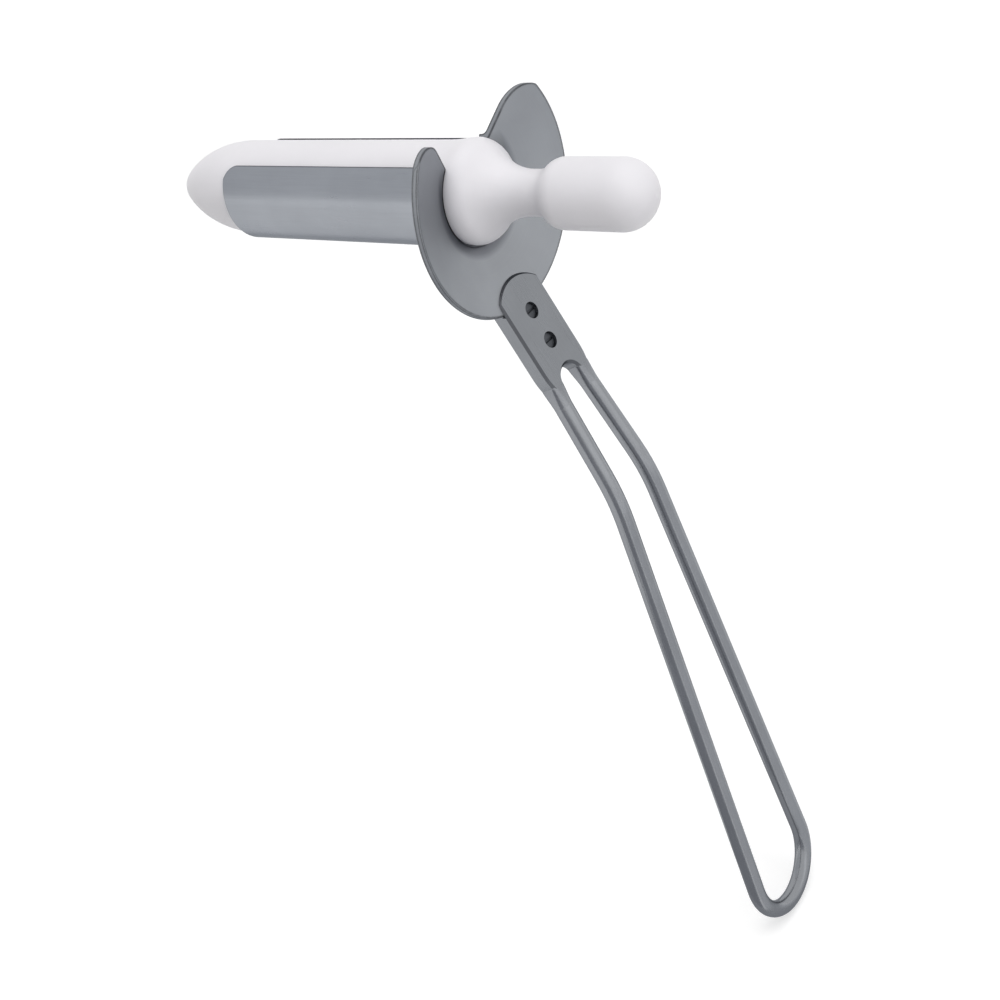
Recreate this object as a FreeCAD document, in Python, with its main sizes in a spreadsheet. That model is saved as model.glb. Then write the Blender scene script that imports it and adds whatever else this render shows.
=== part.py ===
import FreeCAD, Part
import math
import os
import re

import Sketcher

# Operating anal speculum: a slotted steel tube in a dished, notched flange, a bar screwed under
# the flange, a looped wire handle, and a white plastic obturator that slides out backwards.
# Frame: origin on the tube's axis in the plane of its mouth, +Y towards the patient, +Z up
# through the middle of the slot, handle down. Millimetres and degrees.

doc = FreeCAD.newDocument("speculum")
sheet = doc.addObject("Spreadsheet::Sheet", "Sizes")

SIZES = {
    # slotted tube
    "tube_radius": 14.25,
    "tube_wall": 0.8,
    "tube_length": 78.0,
    "lead_in_length": 4.0,
    "lead_in_depth": 0.4,
    "seat_step": 0.2,
    "edge_break": 0.25,
    "slot_half_width": 9.6,
    "slot_end_round": 5.7,
    "slot_end_run": 5.0,
    # dished flange with a neck round the tube
    "rim_radius": 32.6,
    "saucer_angle": 20.3,
    "sheet_thickness": 1.6,
    "neck_wall": 1.2,
    "neck_length": 3.0,
    "neck_fillet": 1.5,
    "notch_half_angle": 38.0,
    "notch_offset": 1.2,
    "lobe_radius": 8.3,
    "braze_gap": 0.05,
    # lug on the back of the flange, let into the bar
    "lug_width": 11.0,
    "lug_thickness": 1.6,
    "lug_length": 13.3,
    "lug_root": 3.0,
    "lug_root_depth": 0.9,
    # bar under the flange
    "bar_lean": 24.0,
    "bar_half_width": 9.3,
    "bar_thickness": 5.1,
    "bar_drop": 21.3,
    "bar_edge": 0.7,
    "corner_run": 5.0,
    "corner_in": 0.7,
    "tongue_step": 1.4,
    "tongue_rise": 9.6,
    "tongue_arc": 13.0,
    "arch_depth": 3.3,
    "arch_half_width": 4.1,
    # two screws sunk in the bar
    "screw_first": 0.9,
    "screw_pitch": 9.3,
    "recess_radius": 2.3,
    "recess_depth": 1.9,
    "shank_radius": 1.25,
    "head_height": 1.0,
    "head_gap": 0.1,
    "screw_gap": 0.02,
    "driver_width": 0.6,
    "driver_depth": 0.5,
    # looped wire handle
    "wire_radius": 2.6,
    "wire_end_radius": 2.5,
    "taper_length": 6.0,
    "spigot_radius": 1.5,
    "spigot_length": 5.0,
    "leg_spacing": 6.45,
    "bend_drop": 35.0,
    "bend_spacing": 8.44,
    "bend_radius": 60.0,
    "grip_lean": 10.0,
    "grip_length": 137.0,
    "loop_spacing": 15.0,
    # obturator
    "bore_clearance": 0.45,
    "nose_length": 26.8,
    "nose_tip_radius": 6.5,
    "seat_clearance": 0.15,
    "shoulder_run": 8.0,
    "shoulder_place": 0.5,
    "shoulder_round": 6.0,
    "waist_radius": 5.85,
    "waist_place": 18.0,
    "waist_flat": 2.0,
    "waist_curve": 6.0,
    "knob_radius": 9.0,
    "knob_round": 6.0,
    "knob_end": 53.2,
    # room by which a cut runs past the material
    "cut_margin": 1.0,
}

for row, (alias, value) in enumerate(SIZES.items(), start=1):
    sheet.set(f"A{row}", alias)
    sheet.set(f"B{row}", str(value))
    sheet.setAlias(f"B{row}", alias)
doc.recompute()


def bound(text):
    """Write an expression's plain names as references to the sheet's cells."""
    return re.sub(r"[a-z_]+", lambda name: link(name.group()), text)


def link(name):
    return "Sizes." + name if name in SIZES else name


def number(text):
    return float(sheet.evalExpression(bound(text)))


# Places closer than this, in millimetres, count as the same
TOUCHING = 1e-6

# Derived sizes, as expressions of the cells above
BORE = "(tube_radius - tube_wall)"
MOUTH = f"({BORE} + lead_in_depth)"
SEAT = "(tube_radius - seat_step)"
NECK_INNER = f"({SEAT} + braze_gap)"
NECK_OUTER = f"({NECK_INNER} + neck_wall)"
BODY = f"({BORE} - bore_clearance)"
CREST = f"({MOUTH} - seat_clearance)"


def plane(body, role):
    return next(item for item in body.Origin.OriginFeatures if item.Role == role)


def new_body(label):
    body = doc.addObject("PartDesign::Body", label)
    body.Label = label
    return body


def new_sketch(body, role, name):
    sketch = body.newObject("Sketcher::SketchObject", name)
    sketch.AttachmentSupport = (plane(body, role), [""])
    sketch.MapMode = "FlatFace"
    return sketch


def pin_point(sketch, edge, end, place):
    """Hold one end of an edge at a place given by two expressions."""
    for kind, text in zip(("DistanceX", "DistanceY"), place):
        name = f"p{edge}_{end}_{kind[-1]}"
        index = sketch.addConstraint(Sketcher.Constraint(kind, -1, 1, edge, end, number(text)))
        sketch.renameConstraint(index, name)
        sketch.setExpression(f"Constraints.{name}", bound(text))


def arc_middle(first, last, radius, side):
    """Middle of the minor arc from first to last, its centre to the left (+1) or right (-1)."""
    chord = last - first
    half = chord.Length / 2
    normal = FreeCAD.Vector(-chord.y, chord.x, 0).normalize()
    rise = radius - math.sqrt(max(radius**2 - half**2, 0))
    return first + chord * 0.5 - normal * (side * rise)


def draw(sketch, corners):
    """Draw a closed outline. A corner is (x, y), or (x, y, radius, side) where an arc leaves it."""
    places = [FreeCAD.Vector(number(corner[0]), number(corner[1]), 0) for corner in corners]
    starts = []
    ends = []
    for index, corner in enumerate(corners):
        first = places[index]
        last = places[(index + 1) % len(corners)]
        if len(corner) == 2:
            edge = sketch.addGeometry(Part.LineSegment(first, last))
            starts.append((edge, 1))
            ends.append((edge, 2))
            continue
        middle = arc_middle(first, last, number(corner[2]), corner[3])
        edge = sketch.addGeometry(Part.Arc(first, middle, last))
        forward = sketch.getPoint(edge, 1).distanceToPoint(first) < TOUCHING
        starts.append((edge, 1 if forward else 2))
        ends.append((edge, 2 if forward else 1))
    for index, corner in enumerate(corners):
        following = (index + 1) % len(corners)
        sketch.addConstraint(Sketcher.Constraint("Coincident", *ends[index], *starts[following]))
        pin_point(sketch, *starts[index], corner[:2])
        if len(corner) > 2:
            edge = starts[index][0]
            held = sketch.addConstraint(Sketcher.Constraint("Radius", edge, number(corner[2])))
            sketch.renameConstraint(held, f"r{edge}")
            sketch.setExpression(f"Constraints.r{edge}", bound(corner[2]))


def draw_circle(sketch, across, up, radius):
    centre = FreeCAD.Vector(number(across), number(up), 0)
    edge = sketch.addGeometry(Part.Circle(centre, FreeCAD.Vector(0, 0, 1), number(radius)))
    pin_point(sketch, edge, 3, (across, up))
    held = sketch.addConstraint(Sketcher.Constraint("Radius", edge, number(radius)))
    sketch.renameConstraint(held, f"r{edge}")
    sketch.setExpression(f"Constraints.r{edge}", bound(radius))


def turn(body, kind, sketch, axis, name):
    """Revolve a sketch about one of its axes, as added or removed material."""
    feature = body.newObject("PartDesign::" + kind, name)
    feature.Profile = sketch
    feature.ReferenceAxis = (sketch, [axis])
    feature.Angle = 360
    return feature


def extrude(body, kind, sketch, length, name, reverse=False, both_ways=False):
    """Pad or pocket a sketch by an expression's length."""
    feature = body.newObject("PartDesign::" + kind, name)
    feature.Profile = sketch
    feature.Type = "Length"
    feature.setExpression("Length", bound(length))
    feature.Reversed = reverse
    if both_ways:
        feature.SideType = "Symmetric"
    return feature


# Plane of the bar: its origin is on the bar's front face, level with the rim. "depth" runs
# into the bar, away from the user, and "rise" runs up the bar.
RIM_FRONT = f"(({NECK_INNER} - rim_radius) * tan(saucer_angle))"
BAR_Y = f"({RIM_FRONT} - tongue_step)"
BAR_Z = "(-rim_radius)"


def bar_place(depth, rise):
    """Expressions for the frame's Y and Z of a place in the bar's plane."""
    along = f"{BAR_Y} + ({depth}) * cos(bar_lean) + ({rise}) * sin(bar_lean)"
    up = f"{BAR_Z} - ({depth}) * sin(bar_lean) + ({rise}) * cos(bar_lean)"
    return along, up


def bar_point(across, depth, rise):
    along, up = bar_place(depth, rise)
    return FreeCAD.Vector(number(across), number(along), number(up))


def lean_sketch(sketch, depth):
    """Tilt a sketch from the upright plane into the bar's plane, at a depth in the bar."""
    along, up = bar_place(depth, "0")
    sketch.AttachmentOffset = FreeCAD.Placement(
        FreeCAD.Vector(0, number(up), -number(along)),
        FreeCAD.Rotation(FreeCAD.Vector(1, 0, 0), -number("bar_lean")),
    )
    sketch.setExpression("AttachmentOffset.Base.y", bound(up))
    sketch.setExpression("AttachmentOffset.Base.z", bound(f"-({along})"))
    sketch.setExpression("AttachmentOffset.Rotation.Angle", bound("-bar_lean"))


def make_tube():
    """Thin tube with a lead-in at the mouth, a seat for the flange and a slot along the top."""
    body = new_body("blade_tube")
    section = new_sketch(body, "YZ_Plane", "tube_section")
    draw(section, [
        ("0", MOUTH),
        ("lead_in_length", BORE),
        ("tube_length - edge_break", BORE),
        ("tube_length", f"{BORE} + edge_break"),
        ("tube_length", "tube_radius - edge_break"),
        ("tube_length - edge_break", "tube_radius"),
        ("neck_length + braze_gap", "tube_radius"),
        ("neck_length + braze_gap", SEAT),
        ("0", SEAT),
    ])
    turn(body, "Revolution", section, "H_Axis", "tube_turned")
    slot = new_sketch(body, "XY_Plane", "tube_slot")
    corner = "slot_half_width + slot_end_round - sqrt(slot_end_round^2 - slot_end_run^2)"
    draw(slot, [
        ("slot_half_width", "-cut_margin"),
        ("slot_half_width", "tube_length - slot_end_run", "slot_end_round", -1),
        (corner, "tube_length"),
        (corner, "tube_length + cut_margin"),
        (f"-({corner})", "tube_length + cut_margin"),
        (f"-({corner})", "tube_length", "slot_end_round", -1),
        ("-slot_half_width", "tube_length - slot_end_run"),
        ("-slot_half_width", "-cut_margin"),
    ])
    extrude(body, "Pocket", slot, "tube_radius + cut_margin", "tube_slot_cut", reverse=True)
    return body


def saucer_place(run, lift):
    """Expressions for a place at a run up the flange's slope and a lift off its front face."""
    along = f"(({lift}) * cos(saucer_angle) - ({run}) * sin(saucer_angle))"
    out = f"({NECK_INNER} + ({lift}) * sin(saucer_angle) + ({run}) * cos(saucer_angle))"
    return along, out


def make_flange():
    """Dished sheet with a neck for the tube, a notch and a lug for the bar."""
    body = new_body("flange")
    lift = "sheet_thickness * sin(saucer_angle)"
    run = f"((rim_radius - {NECK_INNER} - {lift}) / cos(saucer_angle))"
    back_run = f"((neck_wall - {lift}) / cos(saucer_angle))"
    tangent = "(neck_fillet / tan(45 + saucer_angle / 2))"
    neck_start = saucer_place(back_run, "sheet_thickness")[0]
    section = new_sketch(body, "YZ_Plane", "flange_section")
    draw(section, [
        saucer_place("0", "0"),
        saucer_place(f"{run} - edge_break", "0"),
        saucer_place(run, "edge_break"),
        saucer_place(run, "sheet_thickness - edge_break"),
        saucer_place(f"{run} - edge_break", "sheet_thickness"),
        (*saucer_place(f"{back_run} + {tangent}", "sheet_thickness"), "neck_fillet", 1),
        (f"{neck_start} + {tangent}", NECK_OUTER),
        ("neck_length", NECK_OUTER),
        ("neck_length", NECK_INNER),
    ])
    turn(body, "Revolution", section, "H_Axis", "flange_turned")

    lug = new_sketch(body, "YZ_Plane", "lug_section")
    seat = "bar_thickness - lug_thickness"
    draw(lug, [
        bar_place("bar_thickness", "-lug_length"),
        bar_place("bar_thickness", "lug_root - lug_thickness / 2"),
        bar_place(seat, "lug_root + lug_thickness / 2"),
        bar_place(f"{seat} - lug_root_depth", "lug_root"),
        bar_place(seat, "0"),
        bar_place(seat, "-lug_length"),
    ])
    extrude(body, "Pad", lug, "lug_width", "lug_block", both_ways=True)

    notch = new_sketch(body, "XZ_Plane", "notch")
    reach = "(rim_radius - lobe_radius)"
    aside = "(notch_offset + lobe_radius)"
    swing = f"(notch_half_angle + asin({aside} / {reach}) / 1deg)"
    edge_run = f"sqrt({reach}^2 - {aside}^2)"
    inner = (
        f"{edge_run} * sin(notch_half_angle) + notch_offset * cos(notch_half_angle)",
        f"{edge_run} * cos(notch_half_angle) - notch_offset * sin(notch_half_angle)",
    )
    foot = "notch_offset / cos(notch_half_angle)"
    outer = (f"rim_radius * sin({swing})", f"rim_radius * cos({swing})")
    above = "(rim_radius + cut_margin)"
    beyond = (f"{above} * sin({swing})", f"{above} * cos({swing})")
    draw(notch, [
        (foot, "0"),
        (*inner, "lobe_radius", -1),
        outer,
        beyond,
        (beyond[0], above),
        ("-" + beyond[0], above),
        ("-" + beyond[0], beyond[1]),
        ("-" + outer[0], outer[1], "lobe_radius", -1),
        (f"-({inner[0]})", inner[1]),
        ("-" + foot, "0"),
    ])
    extrude(body, "Pocket", notch, "2 * rim_radius", "notch_cut", both_ways=True)

    cut_screw_holes(body, "flange")
    return body


def socket_place(side, out, up):
    """Expressions for a place in the bar's plane, out from and up a handle leg's centre line."""
    splay = "atan((bend_spacing - leg_spacing) / bend_drop)"
    across = f"{side} * (leg_spacing + ({out}) * cos({splay}) - ({up}) * sin({splay}))"
    rise = f"-bar_drop + ({out}) * sin({splay}) + ({up}) * cos({splay})"
    return across, rise


def outline_edges(blank):
    """Names of the blank's edges along its two faces, without those that meet the legs."""
    lean = math.radians(number("bar_lean"))
    foot = bar_point("0", "0", "-bar_drop")
    up = FreeCAD.Vector(0, math.sin(lean), math.cos(lean))
    deep = FreeCAD.Vector(0, math.cos(lean), -math.sin(lean))
    found = []
    for index, edge in enumerate(blank.Edges):
        ends = [vertex.Point - foot for vertex in edge.Vertexes]
        across_bar = abs(deep * (ends[0] - ends[1])) > TOUCHING
        at_foot = abs(up * ends[0]) < TOUCHING and abs(up * ends[1]) < TOUCHING
        if not across_bar and not at_foot:
            found.append(f"Edge{index + 1}")
    return found


def cut_screw_holes(body, prefix):
    """Sink both screws: a recess for each head and a hole for each shank."""
    recesses = new_sketch(body, "XZ_Plane", prefix + "_recesses")
    lean_sketch(recesses, "0")
    holes = new_sketch(body, "XZ_Plane", prefix + "_holes")
    lean_sketch(holes, "0")
    for index in range(2):
        rise = f"-screw_first - {index} * screw_pitch"
        draw_circle(recesses, "0", rise, "recess_radius")
        draw_circle(holes, "0", rise, "shank_radius + screw_gap")
    extrude(body, "Pocket", recesses, "recess_depth", prefix + "_recesses_cut")
    extrude(body, "Pocket", holes, "bar_thickness + cut_margin", prefix + "_holes_cut")


def make_bar():
    """Leaning bar: a tongue lies on the flange, a rebate takes the rim, a pocket the lug."""
    body = new_body("handle_bar")
    outline = new_sketch(body, "XZ_Plane", "bar_outline")
    lean_sketch(outline, "0")
    fall = "(tongue_arc - sqrt(tongue_arc^2 - bar_half_width^2))"
    arch = "((arch_half_width^2 + arch_depth^2) / (2 * arch_depth))"
    waist = "((corner_run^2 + corner_in^2) / (2 * corner_in))"
    draw(outline, [
        ("bar_half_width - corner_in", "-bar_drop", waist, 1),
        ("bar_half_width", "corner_run - bar_drop"),
        ("bar_half_width", f"tongue_rise - {fall}", "tongue_arc", 1),
        ("0", "tongue_rise", "tongue_arc", 1),
        ("-bar_half_width", f"tongue_rise - {fall}"),
        ("-bar_half_width", "corner_run - bar_drop", waist, 1),
        ("corner_in - bar_half_width", "-bar_drop"),
        ("-arch_half_width", "-bar_drop", arch, -1),
        ("0", "arch_depth - bar_drop", arch, -1),
        ("arch_half_width", "-bar_drop"),
    ])
    blank = extrude(body, "Pad", outline, "bar_thickness", "bar_blank", reverse=True)
    doc.recompute()
    edges = body.newObject("PartDesign::Chamfer", "bar_edges")
    edges.Base = (blank, outline_edges(blank.Shape))
    edges.setExpression("Size", bound("bar_edge"))

    relief = new_sketch(body, "YZ_Plane", "flange_relief")
    inside = "(rim_radius / 2)"
    slope = "tan(saucer_angle)"
    seat = "(rim_radius + braze_gap)"
    draw(relief, [
        (f"({NECK_INNER} - {inside}) * {slope} - braze_gap", inside),
        (f"({NECK_INNER} - {seat}) * {slope} - braze_gap", seat),
        ("rim_radius", seat),
        ("rim_radius", inside),
    ])
    turn(body, "Groove", relief, "H_Axis", "flange_relief_cut")

    pocket = new_sketch(body, "YZ_Plane", "lug_pocket")
    floor = "bar_thickness - lug_thickness - braze_gap"
    draw(pocket, [
        bar_place(floor, "-lug_length - braze_gap"),
        bar_place(floor, "0"),
        bar_place(f"{floor} - lug_root_depth", "lug_root"),
        bar_place(f"{floor} - lug_root_depth", "tongue_rise"),
        bar_place("bar_thickness + cut_margin", "tongue_rise"),
        bar_place("bar_thickness + cut_margin", "-lug_length - braze_gap"),
    ])
    extrude(body, "Pocket", pocket, "lug_width + 2 * braze_gap", "lug_pocket_cut", both_ways=True)

    cut_screw_holes(body, "bar")

    wide = "(spigot_radius + braze_gap)"
    deep = "(spigot_length + braze_gap)"
    for side, name in ((1, "right"), (-1, "left")):
        socket = new_sketch(body, "XZ_Plane", f"socket_{name}")
        lean_sketch(socket, "bar_thickness / 2")
        mouth = socket_place(side, "0", "-cut_margin")
        end = socket_place(side, "0", deep)
        draw(socket, [
            mouth,
            socket_place(side, wide, "-cut_margin"),
            socket_place(side, wide, deep),
            end,
        ])
        axis = Part.LineSegment(FreeCAD.Vector(0, 0, 0), FreeCAD.Vector(1, 1, 0))
        line = socket.addGeometry(axis, True)
        pin_point(socket, line, 1, mouth)
        pin_point(socket, line, 2, end)
        turn(body, "Groove", socket, "Axis0", f"socket_{name}_cut")
    return body


def add_cylinder(name, radius, length, base, tilt):
    """Cylinder from a base place, its axis tilted about X from straight up."""
    piece = doc.addObject("Part::Cylinder", name)
    piece.setExpression("Radius", bound(radius))
    piece.setExpression("Height", bound(length))
    piece.Placement = FreeCAD.Placement(
        FreeCAD.Vector(0, number(base[0]), number(base[1])),
        FreeCAD.Rotation(FreeCAD.Vector(1, 0, 0), number(tilt)),
    )
    piece.setExpression("Placement.Base.y", bound(base[0]))
    piece.setExpression("Placement.Base.z", bound(base[1]))
    return piece


def make_screw(label, rise):
    """Slotted cheese-head screw sunk in the bar, its shank threaded into the lug."""
    tilt = "-90 - bar_lean"
    head_start = bar_place("recess_depth - head_height", rise)
    head_end = bar_place("recess_depth", rise)
    shank_length = "bar_thickness - recess_depth"
    head = add_cylinder(label + "_head", "recess_radius - head_gap", "head_height", head_start, tilt)
    shank = add_cylinder(label + "_shank", "shank_radius", shank_length, head_end, tilt)
    blank = doc.addObject("Part::Fuse", label + "_blank")
    blank.Base = head
    blank.Tool = shank
    blade = doc.addObject("Part::Box", label + "_blade")
    blade.setExpression("Length", bound("2 * recess_radius"))
    blade.setExpression("Width", bound("driver_width"))
    blade.setExpression("Height", bound("driver_depth"))
    turned = FreeCAD.Rotation(FreeCAD.Vector(1, 0, 0), number(tilt))
    offset = turned.multVec(FreeCAD.Vector(-number("recess_radius"), -number("driver_width") / 2, 0))
    start = FreeCAD.Vector(0, number(head_start[0]), number(head_start[1]))
    blade.Placement = FreeCAD.Placement(start + offset, turned)
    screw = doc.addObject("Part::Cut", label)
    screw.Label = label
    screw.Base = blank
    screw.Tool = blade
    return screw


def handle_path():
    """Centre line of the wire: two splayed legs, a gentle bend in each, and a round end."""
    middle = "bar_thickness / 2"
    foot = bar_point("leg_spacing", middle, "-bar_drop")
    bend = bar_point("bend_spacing", middle, "-bar_drop - bend_drop")
    first = (bend - foot).normalize()
    shoulder = number("wire_end_radius") * first.x + number("braze_gap")
    start = foot + first * (shoulder + number("taper_length"))
    lean = math.radians(number("grip_lean"))
    down = FreeCAD.Vector(0, -math.sin(lean), -math.cos(lean))
    length = number("grip_length")
    half = number("loop_spacing")
    leg_end = FreeCAD.Vector(half, bend.y + down.y * length, bend.z + down.z * length)
    splay = math.atan((half - bend.x) / length)
    loop_radius = half / math.cos(splay)
    drop = loop_radius * (1 + math.sin(splay))
    bottom = FreeCAD.Vector(0, leg_end.y + down.y * drop, leg_end.z + down.z * drop)
    second = (leg_end - bend).normalize()
    corner = first.getAngle(second)
    radius = number("bend_radius")
    tangent = radius * math.tan(corner / 2)
    inward = (second - first).normalize()
    arc_in = bend - first * tangent
    arc_out = bend + second * tangent
    arc_mid = bend + inward * (radius / math.cos(corner / 2) - radius)

    def across(point):
        return FreeCAD.Vector(-point.x, point.y, point.z)

    edges = [
        Part.LineSegment(start, arc_in),
        Part.Arc(arc_in, arc_mid, arc_out),
        Part.LineSegment(arc_out, leg_end),
        Part.Arc(leg_end, bottom, across(leg_end)),
        Part.LineSegment(across(leg_end), across(arc_out)),
        Part.Arc(across(arc_out), across(arc_mid), across(arc_in)),
        Part.LineSegment(across(arc_in), across(start)),
    ]
    return Part.Wire([edge.toShape() for edge in edges]), start, first


def make_loop():
    """Bent wire, each end tapered to the bar's thickness and turned down to a spigot."""
    wire, start, direction = handle_path()
    path = doc.addObject("Part::Feature", "handle_path")
    path.Shape = wire
    ring = doc.addObject("Part::Circle", "wire_section")
    ring.setExpression("Radius", bound("wire_radius"))
    ring.Placement = FreeCAD.Placement(start, FreeCAD.Rotation(FreeCAD.Vector(0, 0, 1), direction))
    swept = doc.addObject("Part::Sweep", "wire_swept")
    swept.Sections = [ring]
    swept.Spine = (path, [f"Edge{index + 1}" for index in range(len(wire.Edges))])
    swept.Solid = True
    pieces = [swept]
    for side, name in ((1, "right"), (-1, "left")):
        up = FreeCAD.Vector(-direction.x * side, -direction.y, -direction.z)
        turned = FreeCAD.Rotation(FreeCAD.Vector(0, 0, 1), up)
        taper = doc.addObject("Part::Cone", f"taper_{name}")
        taper.setExpression("Radius1", bound("wire_radius"))
        taper.setExpression("Radius2", bound("wire_end_radius"))
        taper.setExpression("Height", bound("taper_length"))
        taper.Placement = FreeCAD.Placement(FreeCAD.Vector(start.x * side, start.y, start.z), turned)
        spigot = doc.addObject("Part::Cylinder", f"spigot_{name}")
        spigot.setExpression("Radius", bound("spigot_radius"))
        spigot.setExpression("Height", bound("taper_length + spigot_length"))
        spigot.Placement = taper.Placement
        pieces += [taper, spigot]
    loop = doc.addObject("Part::MultiFuse", "handle_loop")
    loop.Label = "handle_loop"
    loop.Shapes = pieces
    loop.Refine = True
    return loop


def meet(first, last, radius):
    """Expressions for a second arc's radius and the place where it leaves the first arc.

    The first arc has its centre at `first` and a radius. The second is tangent to it and
    lies on the outer side of `last`, where it runs along the axis.
    """
    gap = f"(({last[0]}) - ({first[0]}))"
    lift = f"(({last[1]}) - ({first[1]}))"
    second = f"(({gap}^2 + {lift}^2 - ({radius})^2) / (2 * (({radius}) - {lift})))"
    share = f"(({radius}) / (({radius}) + {second}))"
    place = (f"({first[0]}) + {gap} * {share}", f"({first[1]}) + ({lift} + {second}) * {share}")
    return second, place


def make_obturator():
    """One turned piece: rounded nose, plain body, seated shoulder, waist and gripping knob."""
    body = new_body("obturator")
    section = new_sketch(body, "YZ_Plane", "obturator_section")
    tip = "(tube_length + nose_length)"
    reach = "(nose_length - nose_tip_radius)"
    nose = f"(({reach}^2 + {BODY}^2 - nose_tip_radius^2) / (2 * ({BODY} - nose_tip_radius)))"
    share = f"(nose_tip_radius / ({nose} - nose_tip_radius))"
    nose_join = (
        f"{tip} - nose_tip_radius + {reach} * {share}",
        f"({nose} - {BODY}) * {share}",
    )
    shoulder = ("-shoulder_place", f"{CREST} - shoulder_round")
    body_arc, body_join = meet(shoulder, ("shoulder_run", BODY), "shoulder_round")
    waist_arc, waist_join = meet(shoulder, ("-waist_place", "waist_radius"), "shoulder_round")
    waist_back = "(waist_place + waist_flat)"
    both = "(waist_curve + knob_round)"
    lift = "(waist_radius + waist_curve - knob_radius + knob_round)"
    knob_run = f"sqrt({both}^2 - {lift}^2)"
    knob_join = (
        f"-{waist_back} - {knob_run} * waist_curve / {both}",
        f"waist_radius + waist_curve - {lift} * waist_curve / {both}",
    )
    draw(section, [
        ("-knob_end", "0"),
        (tip, "0", "nose_tip_radius", 1),
        (*nose_join, nose, 1),
        ("tube_length", BODY),
        ("shoulder_run", BODY, body_arc, -1),
        (*body_join, "shoulder_round", 1),
        (*waist_join, waist_arc, -1),
        ("-waist_place", "waist_radius"),
        (f"-{waist_back}", "waist_radius", "waist_curve", -1),
        (*knob_join, "knob_round", 1),
        (f"-{waist_back} - {knob_run}", "knob_radius"),
        ("knob_radius - knob_end", "knob_radius", "knob_radius", 1),
    ])
    turn(body, "Revolution", section, "H_Axis", "obturator_turned")
    return body


pieces = [
    make_tube(),
    make_flange(),
    make_bar(),
    make_loop(),
    make_screw("upper_screw", "-screw_first"),
    make_screw("lower_screw", "-screw_first - screw_pitch"),
    make_obturator(),
]
doc.recompute()

for item in doc.Objects:
    if "Invalid" in item.State or "Error" in item.State:
        raise RuntimeError(f"{item.Name} did not build: {item.State}")

os.makedirs("parts", exist_ok=True)
for piece in pieces:
    shape = piece.Shape
    if shape.isNull() or not shape.isValid() or len(shape.Solids) != 1:
        raise RuntimeError(f"{piece.Label} is not one sound solid")
    shape.exportStep(f"parts/{piece.Label}.step")
    print(piece.Label, round(shape.Volume, 1), shape.BoundBox)
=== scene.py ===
import math

import bmesh
import bpy
from mathutils import Matrix, Vector


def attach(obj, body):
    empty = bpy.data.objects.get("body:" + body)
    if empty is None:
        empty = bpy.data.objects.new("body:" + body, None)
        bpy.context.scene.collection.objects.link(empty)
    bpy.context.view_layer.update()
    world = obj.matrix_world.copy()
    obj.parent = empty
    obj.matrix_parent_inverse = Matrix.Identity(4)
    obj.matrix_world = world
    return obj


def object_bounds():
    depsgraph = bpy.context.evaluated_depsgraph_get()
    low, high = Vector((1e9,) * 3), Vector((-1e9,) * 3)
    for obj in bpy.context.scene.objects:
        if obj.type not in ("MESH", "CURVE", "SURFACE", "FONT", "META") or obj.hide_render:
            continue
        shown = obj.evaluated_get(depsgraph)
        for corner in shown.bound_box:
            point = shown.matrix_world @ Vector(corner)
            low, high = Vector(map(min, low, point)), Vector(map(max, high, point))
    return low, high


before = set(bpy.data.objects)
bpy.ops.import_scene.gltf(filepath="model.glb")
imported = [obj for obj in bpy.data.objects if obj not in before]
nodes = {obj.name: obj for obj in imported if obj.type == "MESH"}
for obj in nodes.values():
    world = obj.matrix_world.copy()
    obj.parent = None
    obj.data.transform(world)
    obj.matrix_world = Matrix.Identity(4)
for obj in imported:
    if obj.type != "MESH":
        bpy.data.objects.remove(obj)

# Looks of the operating anal speculum: satin steel, polished wire and white moulded plastic on
# a white sweep. Everything is in metres in the part's own frame.

cad_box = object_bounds()

# Sizes of the part that its looks follow
RIM_RADIUS = 0.0326
SLOT_HALF_WIDTH = 0.0096
BAR_LEAN = math.radians(24.0)
BAR_FRONT = Vector((0.0, -0.008243, -0.0326))
INTO_BAR = Vector((0.0, math.cos(BAR_LEAN), -math.sin(BAR_LEAN)))
UP_BAR = Vector((0.0, math.sin(BAR_LEAN), math.cos(BAR_LEAN)))

# Scales of the object coordinates, for marks alike in all directions or drawn out along an axis
EVEN = (1.0, 1.0, 1.0)
LONG_Y = (1.0, 0.02, 1.0)
LONG_Z = (1.0, 1.0, 0.02)
SMEARED = (1.0, 0.45, 0.45)
TURNED = (0.02, 1.0, 0.02)

WHITE = (1.0, 1.0, 1.0)
BLACK = (0.0, 0.0, 0.0)
# Range that a noise mostly keeps to
NOISE = (0.3, 0.7)
# How far the cloudy tone strays from a steel's tint
TONE_SPREAD = 0.04
# How far the painted edge shade spreads from an edge
EDGE_REACH = 0.0005
RIM_EDGE_REACH = 0.0009
# Cosine between the rounded and the true normal, from clear of an edge to on it
EDGE_TURN = (0.999, 0.97)

# Tone of the painted shadow on the flange's face from the tube's axis, 0, to the rim, 1
SHADOW_STOPS = [(0.43, (0.42, 0.42, 0.44)), (0.49, (0.62, 0.62, 0.64)), (0.54, WHITE)]
# Heights between which the painted shadow fades out
SHADOW_TOP = (-0.003, 0.0115)
# Painted shade on the sawn edges starts at the second height; in the mouth it ends at the first
# distance
SAWN_RISE = (0.008, 0.0085)
SAWN_BAND = 0.00012
MOUTH_DEPTH = (0.0015, 0.0005)
CUT_SHADE_TONE = (0.3, 0.3, 0.32)
CHAMFER_FACING = math.sqrt(0.5)
CHAMFER_SPREAD = 0.15
CHAMFER_TONE = (0.48, 0.48, 0.49)
# Heights between which the braze turns from the bar's tone to the wire's
BRAZE_FADE = (-0.0525, -0.0585)
BRAZE_TONE = (0.87, 0.87, 0.88)

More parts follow.
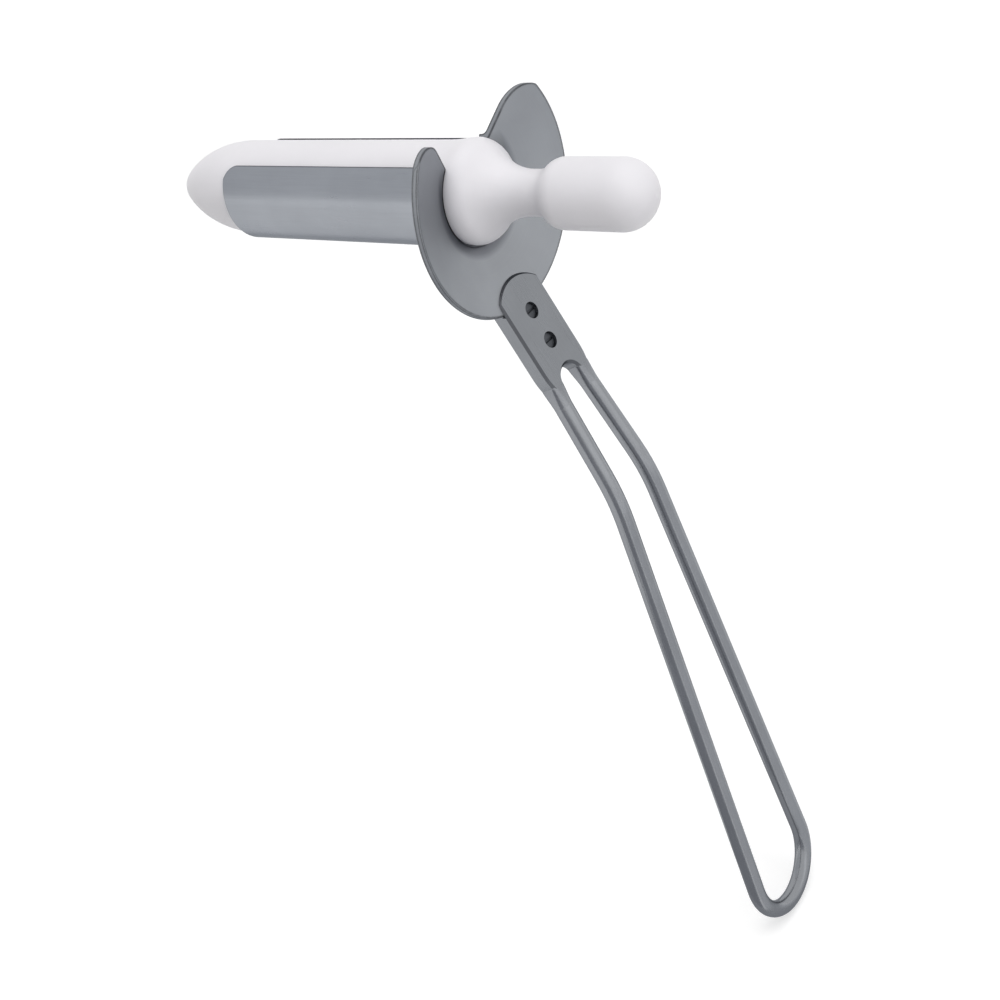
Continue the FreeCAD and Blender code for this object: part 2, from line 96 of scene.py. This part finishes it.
# Braze skins: places on the bar are (across, up) from the middle of its front
WIRE_DEPTH = 0.00255
FOOT = (0.00645, -0.0213)
BEND = (0.00844, -0.0563)
WIRE_END_RADIUS = 0.0025
BRAZE_LENGTH = 0.0072
BRAZE_OVERLAP = 0.001
BRAZE_INSIDE = 0.002
BRAZE_STEPS = 18
SUNK_SHARE = 0.12
SUNK_DEPTH = 0.00022
SKIN_AT_BAR = 0.00004
SKIN_AT_WIRE = 0.0001
SQUARENESS = 2.6
ROUND = 2.0


# Materials

def new_material(name, metallic, roughness):
    """A material with its node tree and its principled shader."""
    material = bpy.data.materials.new(name)
    material.use_nodes = True
    tree = material.node_tree
    shader = tree.nodes["Principled BSDF"]
    shader.inputs["Metallic"].default_value = metallic
    shader.inputs["Roughness"].default_value = roughness
    return material, tree, shader


def add(tree, kind, **settings):
    node = tree.nodes.new(kind)
    for name, value in settings.items():
        setattr(node, name, value)
    return node


def place(tree, scale, lean=0.0):
    """Object coordinates turned upright from a lean about X, then scaled along each axis."""
    coordinates = add(tree, "ShaderNodeTexCoord")
    upright = add(tree, "ShaderNodeMapping")
    upright.inputs["Rotation"].default_value = (lean, 0.0, 0.0)
    tree.links.new(coordinates.outputs["Object"], upright.inputs["Vector"])
    scaled = add(tree, "ShaderNodeMapping")
    scaled.inputs["Scale"].default_value = scale
    tree.links.new(upright.outputs["Vector"], scaled.inputs["Vector"])
    return scaled.outputs["Vector"]


def noise(tree, vector, scale, detail, roughness):
    node = add(tree, "ShaderNodeTexNoise")
    node.inputs["Scale"].default_value = scale
    node.inputs["Detail"].default_value = detail
    node.inputs["Roughness"].default_value = roughness
    tree.links.new(vector, node.inputs["Vector"])
    return node.outputs["Fac"]


def ramp(tree, factor, stops):
    """Colour ramp through (position, colour) stops."""
    node = add(tree, "ShaderNodeValToRGB")
    elements = node.color_ramp.elements
    while len(elements) < len(stops):
        elements.new(0.5)
    for element, (position, colour) in zip(elements, stops):
        element.position = position
        element.color = (*colour, 1.0)
    tree.links.new(factor, node.inputs["Fac"])
    return node.outputs["Color"]


def fade(tree, factor, start, end):
    """From one colour to another as the factor goes from 0 to 1."""
    return ramp(tree, factor, [(0.0, start), (1.0, end)])


def remap(tree, value, given, wanted=(0.0, 1.0)):
    """A value moved from one range to another, and held inside it."""
    node = add(tree, "ShaderNodeMapRange")
    node.inputs["From Min"].default_value, node.inputs["From Max"].default_value = given
    node.inputs["To Min"].default_value, node.inputs["To Max"].default_value = wanted
    tree.links.new(value, node.inputs["Value"])
    return node.outputs["Result"]


def sums(tree, operation, first, second, clamp=False):
    node = add(tree, "ShaderNodeMath", operation=operation, use_clamp=clamp)
    tree.links.new(first, node.inputs[0])
    tree.links.new(second, node.inputs[1])
    return node.outputs["Value"]


def close_to(tree, value, wanted, spread):
    """1 where the value's size is within a spread of the wanted number, 0 elsewhere."""
    size = add(tree, "ShaderNodeMath", operation="ABSOLUTE")
    tree.links.new(value, size.inputs[0])
    near = add(tree, "ShaderNodeMath", operation="COMPARE")
    tree.links.new(size.outputs["Value"], near.inputs[0])
    near.inputs[1].default_value = wanted
    near.inputs[2].default_value = spread
    return near.outputs["Value"]


def blend(tree, kind, first, second):
    node = add(tree, "ShaderNodeMix", data_type="RGBA", blend_type=kind)
    node.inputs["Factor"].default_value = 1.0
    tree.links.new(first, node.inputs["A"])
    tree.links.new(second, node.inputs["B"])
    return node.outputs["Result"]


def bump(tree, shader, height, strength, distance):
    node = add(tree, "ShaderNodeBump")
    node.inputs["Strength"].default_value = strength
    node.inputs["Distance"].default_value = distance
    tree.links.new(height, node.inputs["Height"])
    tree.links.new(node.outputs["Normal"], shader.inputs["Normal"])


def axes(tree):
    """The object coordinates one by one."""
    coordinates = add(tree, "ShaderNodeTexCoord")
    parts = add(tree, "ShaderNodeSeparateXYZ")
    tree.links.new(coordinates.outputs["Object"], parts.inputs["Vector"])
    return parts.outputs


def away_from_axis(tree):
    """Distance from the tube's axis, from 0 at the axis to 1 at the flange's rim."""
    parts = axes(tree)
    flat = add(tree, "ShaderNodeCombineXYZ")
    tree.links.new(parts["X"], flat.inputs["X"])
    tree.links.new(parts["Z"], flat.inputs["Z"])
    length = add(tree, "ShaderNodeVectorMath", operation="LENGTH")
    tree.links.new(flat.outputs["Vector"], length.inputs[0])
    return remap(tree, length.outputs["Value"], (0.0, RIM_RADIUS))


def straight(scale, lean=0.0):
    """Grain that follows the object's axes, or a lean about X."""
    return lambda tree: place(tree, scale, lean)


def round_lines(tree):
    """A coordinate that runs outwards from the tube's axis, for marks turned on a lathe."""
    outwards = add(tree, "ShaderNodeCombineXYZ")
    tree.links.new(away_from_axis(tree), outwards.inputs["X"])
    return outwards.outputs["Vector"]


def along_edges(tree, reach):
    """How far a place is on an edge, broken up in patches, as the mask for painted shade along
    edges.
    """
    rounded = add(tree, "ShaderNodeBevel", samples=8)
    rounded.inputs["Radius"].default_value = reach
    surface = add(tree, "ShaderNodeNewGeometry")
    match = add(tree, "ShaderNodeVectorMath", operation="DOT_PRODUCT")
    tree.links.new(rounded.outputs["Normal"], match.inputs[0])
    tree.links.new(surface.outputs["Normal"], match.inputs[1])
    edge = remap(tree, match.outputs["Value"], EDGE_TURN)
    patches = noise(tree, place(tree, EVEN), 420.0, 3.0, 0.6)
    return sums(tree, "MULTIPLY", edge, remap(tree, patches, (0.3, 0.55), (0.6, 1.0)))


def mouth_painted_shadow(tree):
    """Painted shadow of the white shoulder, on the flange's face close round the tube's lower
    side.
    """
    tint = ramp(tree, away_from_axis(tree), SHADOW_STOPS)
    unshaded = remap(tree, axes(tree)["Z"], SHADOW_TOP)
    return blend(tree, "LIGHTEN", tint, fade(tree, unshaded, BLACK, WHITE))


def cut_edge_shade(tree):
    """Painted shade on the slot's two sawn edges and in the tube's mouth."""
    parts = axes(tree)
    near = close_to(tree, parts["X"], SLOT_HALF_WIDTH, SAWN_BAND)
    sawn = sums(tree, "MULTIPLY", near, remap(tree, parts["Z"], SAWN_RISE))
    mouth = remap(tree, parts["Y"], MOUTH_DEPTH)
    return fade(tree, sums(tree, "MAXIMUM", sawn, mouth), WHITE, CUT_SHADE_TONE)


def chamfer_shade(tree):
    """Painted shade on the bar's narrow slanted edges, darker than its faces."""
    coordinates = add(tree, "ShaderNodeTexCoord")
    match = add(tree, "ShaderNodeVectorMath", operation="DOT_PRODUCT")
    match.inputs[1].default_value = INTO_BAR
    tree.links.new(coordinates.outputs["Normal"], match.inputs[0])
    slanted = close_to(tree, match.outputs["Value"], CHAMFER_FACING, CHAMFER_SPREAD)
    return fade(tree, slanted, WHITE, CHAMFER_TONE)


def braze_shade(tree):
    """The bar's darker tone at the braze's upper end, and the wire's own at the lower."""
    return fade(tree, remap(tree, axes(tree)["Z"], BRAZE_FADE), BRAZE_TONE, WHITE)


def steel(name, tint, roughness, grain_vector, grain_scale, relief, edges=None, shade=None):
    """Satin steel: fine grain, a faint cloudy tone, smears, and painted shade along edges.

    Edges are (tone, reach). The shade is a function that gives a tone to multiply with.
    """
    material, tree, shader = new_material(name, 1.0, roughness)
    shader.inputs["Specular Tint"].default_value = (0.62, 0.63, 0.65, 1.0)
    grain = noise(tree, grain_vector(tree), grain_scale, 6.0, 0.6)
    cloud = noise(tree, place(tree, EVEN), 60.0, 3.0, 0.55)
    dark = tuple(value * (1.0 - TONE_SPREAD) for value in tint)
    light = tuple(value * (1.0 + TONE_SPREAD) for value in tint)
    toned = ramp(tree, cloud, [(0.32, dark), (0.68, light)])
    lines = ramp(tree, grain, [(0.3, (0.94, 0.94, 0.94)), (0.7, WHITE)])
    colour = blend(tree, "MULTIPLY", toned, lines)
    if edges:
        tone, reach = edges
        # Painted shade along the edges, darker by the given tone
        edge_shade = fade(tree, along_edges(tree, reach), WHITE, (tone, tone, tone))
        colour = blend(tree, "MULTIPLY", colour, edge_shade)
    if shade:
        colour = blend(tree, "MULTIPLY", colour, shade(tree))
    tree.links.new(colour, shader.inputs["Base Color"])
    smear = noise(tree, place(tree, SMEARED), 95.0, 3.0, 0.6)
    smeared = remap(tree, smear, NOISE, (roughness - 0.02, roughness + 0.025))
    rough = sums(tree, "ADD", smeared, remap(tree, grain, NOISE, (-0.015, 0.02)))
    tree.links.new(rough, shader.inputs["Roughness"])
    bump(tree, shader, grain, relief, 0.00006)
    return material


def plastic(name, colour):
    """White moulded plastic: faint turning lines, soft mottling and a low sheen."""
    material, tree, shader = new_material(name, 0.0, 0.42)
    shader.inputs["IOR"].default_value = 1.46
    shader.inputs["Subsurface Weight"].default_value = 0.06
    shader.inputs["Subsurface Radius"].default_value = (0.004, 0.004, 0.004)
    shader.inputs["Subsurface Scale"].default_value = 0.4
    cloud = noise(tree, place(tree, EVEN), 55.0, 4.0, 0.6)
    shade = tuple(value * 0.97 for value in colour)
    tree.links.new(ramp(tree, cloud, [(0.3, shade), (0.7, colour)]), shader.inputs["Base Color"])
    fine = noise(tree, place(tree, EVEN), 900.0, 2.0, 0.5)
    tree.links.new(remap(tree, fine, NOISE, (0.38, 0.46)), shader.inputs["Roughness"])
    rings = noise(tree, place(tree, TURNED), 1500.0, 2.0, 0.5)
    bump(tree, shader, sums(tree, "ADD", rings, fine), 0.1, 0.00008)
    return material


tube_steel = steel(
    "tube_steel", (0.348, 0.364, 0.394), 0.29, straight(LONG_Y), 3200.0, 0.05,
    edges=(0.75, EDGE_REACH), shade=cut_edge_shade,
)
flange_steel = steel(
    "flange_steel", (0.322, 0.335, 0.356), 0.43, round_lines, 105.0, 0.05,
    edges=(0.34, RIM_EDGE_REACH), shade=mouth_painted_shadow,
)
bar_steel = steel(
    "bar_steel", (0.252, 0.263, 0.281), 0.28, straight(LONG_Z, BAR_LEAN), 2800.0, 0.02,
    shade=chamfer_shade,
)
wire_steel = steel("wire_steel", (0.29, 0.301, 0.32), 0.23, straight(LONG_Z), 2400.0, 0.04)
braze_steel = steel(
    "braze_steel", (0.29, 0.301, 0.32), 0.25, straight(LONG_Z), 2400.0, 0.04, shade=braze_shade
)
# The screws' near-black tint is painted shade of the deep holes they sit in
screw_steel = steel(
    "screw_steel", (0.09, 0.095, 0.105), 0.42, straight(EVEN), 3000.0, 0.05,
    edges=(0.7, EDGE_REACH),
)
white_plastic = plastic("white_plastic", (0.855, 0.84, 0.872))

FINISHES = {
    "blade_tube": tube_steel,
    "flange": flange_steel,
    "handle_bar": bar_steel,
    "handle_loop": wire_steel,
    "upper_screw": screw_steel,
    "lower_screw": screw_steel,
    "obturator": white_plastic,
}
for name, material in FINISHES.items():
    slots = nodes[name].data.materials
    slots.clear()
    slots.append(material)


# Braze at the two ends of the wire, from the bar's square foot to the round wire

def on_bar(side, spot):
    """A place in the middle of the wire's depth, on the right, 1, or left, -1, of the bar."""
    across, rise = spot
    return BAR_FRONT + Vector((side * across, 0.0, 0.0)) + INTO_BAR * WIRE_DEPTH + UP_BAR * rise


def oval(centre, wide, deep, halves, power, points=36):
    """Rounded square about a centre, round where the power is 2."""
    ring = []
    for index in range(points):
        turn = 2.0 * math.pi * index / points
        cosine, sine = math.cos(turn), math.sin(turn)
        reach = (abs(cosine) ** power + abs(sine) ** power) ** (-1.0 / power)
        aside = wide * (halves[0] * reach * cosine)
        ring.append(centre + aside + deep * (halves[1] * reach * sine))
    return ring


def braze(name, side):
    """Closed skin round a wire's end, sunk at one end in the bar, at the other in the wire."""
    foot = on_bar(side, FOOT)
    along = (on_bar(side, BEND) - foot).normalized()
    wide = INTO_BAR.cross(along).normalized()

    def ring(share, halves, power):
        centre = foot + along * (BRAZE_LENGTH * share - BRAZE_OVERLAP)
        return oval(centre, wide, INTO_BAR, halves, power)

    rows = []
    for index in range(BRAZE_STEPS + 1):
        share = index / BRAZE_STEPS
        left = 1.0 - share
        sunk = max(SUNK_SHARE - share, SUNK_SHARE - left, 0.0) / SUNK_SHARE
        skin = SKIN_AT_WIRE * share + SKIN_AT_BAR * left - SUNK_DEPTH * sunk**2
        radius = WIRE_END_RADIUS + skin
        halves = (radius, radius + SKIN_AT_BAR * left)
        rows.append(ring(share, halves, ROUND + SQUARENESS * left**2))
    for share in (1.0, 0.0):
        rows.append(ring(share, (BRAZE_INSIDE, BRAZE_INSIDE), ROUND))
    shape = bmesh.new()
    rings = [[shape.verts.new(point) for point in row] for row in rows]
    for one, other in zip(rings, rings[1:] + rings[:1]):
        for index in range(len(one)):
            after = (index + 1) % len(one)
            face = shape.faces.new((one[index], one[after], other[after], other[index]))
            face.smooth = True
    bmesh.ops.recalc_face_normals(shape, faces=shape.faces)
    mesh = bpy.data.meshes.new(name)
    shape.to_mesh(mesh)
    shape.free()
    mesh.materials.append(braze_steel)
    piece = bpy.data.objects.new(name, mesh)
    bpy.context.scene.collection.objects.link(piece)
    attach(piece, "speculum")


braze("braze_right", 1)
braze("braze_left", -1)


# Stage: a pale floor and a white surround, two soft lamps, and cards seen only in reflections

def background(tree, plain, seen):
    """Plain light for the object, and a white surround to the camera and in reflections."""
    path = add(tree, "ShaderNodeLightPath")
    rays = path.outputs
    mirrored = sums(tree, "ADD", rays["Is Glossy Ray"], rays["Is Transmission Ray"], clamp=True)
    shown = sums(tree, "ADD", rays["Is Camera Ray"], mirrored, clamp=True)
    return remap(tree, shown, (0.0, 1.0), (plain, seen))


world = bpy.data.worlds.new("surround")
bpy.context.scene.world = world
world.use_nodes = True
world_tree = world.node_tree
surround = world_tree.nodes["Background"]
surround.inputs["Color"].default_value = (*WHITE, 1.0)
world_tree.links.new(background(world_tree, 0.48, 1.0), surround.inputs["Strength"])

low, high = cad_box
bpy.ops.mesh.primitive_plane_add(size=8.0, location=(0.0, 0.0, low.z - 0.0005))
floor = bpy.context.object
floor.name = "floor"
floor_material, floor_tree, floor_shader = new_material("floor_white", 0.0, 0.9)
floor_shader.inputs["Base Color"].default_value = (0.64, 0.64, 0.64, 1.0)
floor_shader.inputs["Emission Color"].default_value = (*WHITE, 1.0)
# Far from the object the lamps fade, so the floor's own glow makes up for them
away = add(floor_tree, "ShaderNodeVectorMath", operation="LENGTH")
floor_tree.links.new(place(floor_tree, EVEN), away.inputs[0])
whiter = remap(floor_tree, away.outputs["Value"], (1.0, 3.0), (1.0, 2.0))
glow = sums(floor_tree, "MULTIPLY", background(floor_tree, 0.0, 0.51), whiter)
floor_tree.links.new(glow, floor_shader.inputs["Emission Strength"])
floor.data.materials.append(floor_material)


def softbox(name, spot, aim, size, power):
    data = bpy.data.lights.new(name, "AREA")
    data.shape = "RECTANGLE"
    data.size, data.size_y = size
    data.energy = power
    lamp = bpy.data.objects.new(name, data)
    lamp.location = spot
    lamp.rotation_euler = (Vector(aim) - Vector(spot)).to_track_quat("-Z", "Y").to_euler()
    lamp.visible_camera = False
    lamp.visible_glossy = False
    bpy.context.scene.collection.objects.link(lamp)


middle = (low + high) / 2
softbox("top_light", (-0.3, -0.5, 3.0), middle, (2.4, 2.4), 46.5)
softbox("front_light", (-0.8, -2.8, 0.96), middle, (2.2, 1.5), 20.0)

# Cards: tone, bearings in degrees from +Y towards +X, and the upright section as places
# (distance from the upright line through the middle, height in the part's frame)
CARD_MIDDLE = (0.0, -0.04, 0.0)
CARD_STEPS = 24
ground = low.z + 0.0002
CARDS = {
    "dark_card": (
        (0.44, 0.45, 0.48), (-134.0, -84.0), [(0.03, ground), (1.5, ground), (1.5, 0.15)]
    ),
    "low_dark_card": ((0.43, 0.44, 0.47), (-84.0, -58.0), [(0.03, ground), (0.27, ground)]),
    "foot_dark_card": ((0.43, 0.44, 0.47), (-58.0, -36.0), [(0.03, ground), (0.18, ground)]),
    "grey_card": ((0.8, 0.81, 0.83), (-72.0, -3.0), [(1.6, 0.06), (1.6, 2.5)]),
    "bright_card": ((1.3, 1.3, 1.3), (-205.0, -146.0), [(1.5, 0.1), (1.5, 0.7)]),
    "front_card": ((0.86, 0.87, 0.89), (135.0, 215.0), [(0.03, ground), (1.5, ground)]),
    "under_card": ((0.6, 0.61, 0.63), (0.0, 360.0), [(0.0005, ground), (0.03, ground)]),
    "far_card": ((0.7, 0.71, 0.73), (8.0, 60.0), [(0.03, ground), (0.6, ground)]),
}


def card(name, tone, bearings, outline):
    """A studio card that curves round the object and is seen only in reflections."""
    first, last = bearings
    shape = bmesh.new()
    rows = []
    for index in range(CARD_STEPS + 1):
        bearing = math.radians(first + (last - first) * index / CARD_STEPS)
        across, along = math.sin(bearing), math.cos(bearing)
        rows.append([shape.verts.new((out * across, out * along, up)) for out, up in outline])
    for one, other in zip(rows, rows[1:]):
        for index in range(len(outline) - 1):
            shape.faces.new((one[index], one[index + 1], other[index + 1], other[index]))
    mesh = bpy.data.meshes.new(name)
    shape.to_mesh(mesh)
    shape.free()
    material = bpy.data.materials.new(name)
    material.use_nodes = True
    tree = material.node_tree
    tree.nodes.clear()
    glow = add(tree, "ShaderNodeEmission")
    glow.inputs["Color"].default_value = (*tone, 1.0)
    output = add(tree, "ShaderNodeOutputMaterial")
    tree.links.new(glow.outputs["Emission"], output.inputs["Surface"])
    mesh.materials.append(material)
    piece = bpy.data.objects.new(name, mesh)
    piece.location = CARD_MIDDLE
    piece.visible_camera = False
    piece.visible_diffuse = False
    piece.visible_transmission = False
    piece.visible_shadow = False
    bpy.context.scene.collection.objects.link(piece)


for name, (tone, bearings, outline) in CARDS.items():
    card(name, tone, bearings, outline)

# Camera at the photograph's viewing angle

LOOK = Vector((0.6404, 0.5759, -0.5083))
RIGHT = Vector((0.5464, -0.8067, -0.2255))
CAMERA_PLACE = Vector((-0.29119, -0.24182, 0.13269))
FOCAL_PIXELS = 1533.05
FRAME_PIXELS = 1000.0
SENSOR_WIDTH = 36.0

look = LOOK.normalized()
right = (RIGHT - look * RIGHT.dot(look)).normalized()
up = right.cross(look)
camera_data = bpy.data.cameras.new("photo_camera")
camera_data.sensor_width = SENSOR_WIDTH
camera_data.lens = FOCAL_PIXELS * SENSOR_WIDTH / FRAME_PIXELS
camera_data.clip_start = 0.01
camera_data.clip_end = 20.0
camera = bpy.data.objects.new("photo_camera", camera_data)
turn = Matrix((right, up, -look)).transposed()
camera.matrix_world = Matrix.Translation(CAMERA_PLACE) @ turn.to_4x4()
bpy.context.scene.collection.objects.link(camera)
bpy.context.scene.camera = camera
bpy.context.scene.view_settings.view_transform = "Standard"
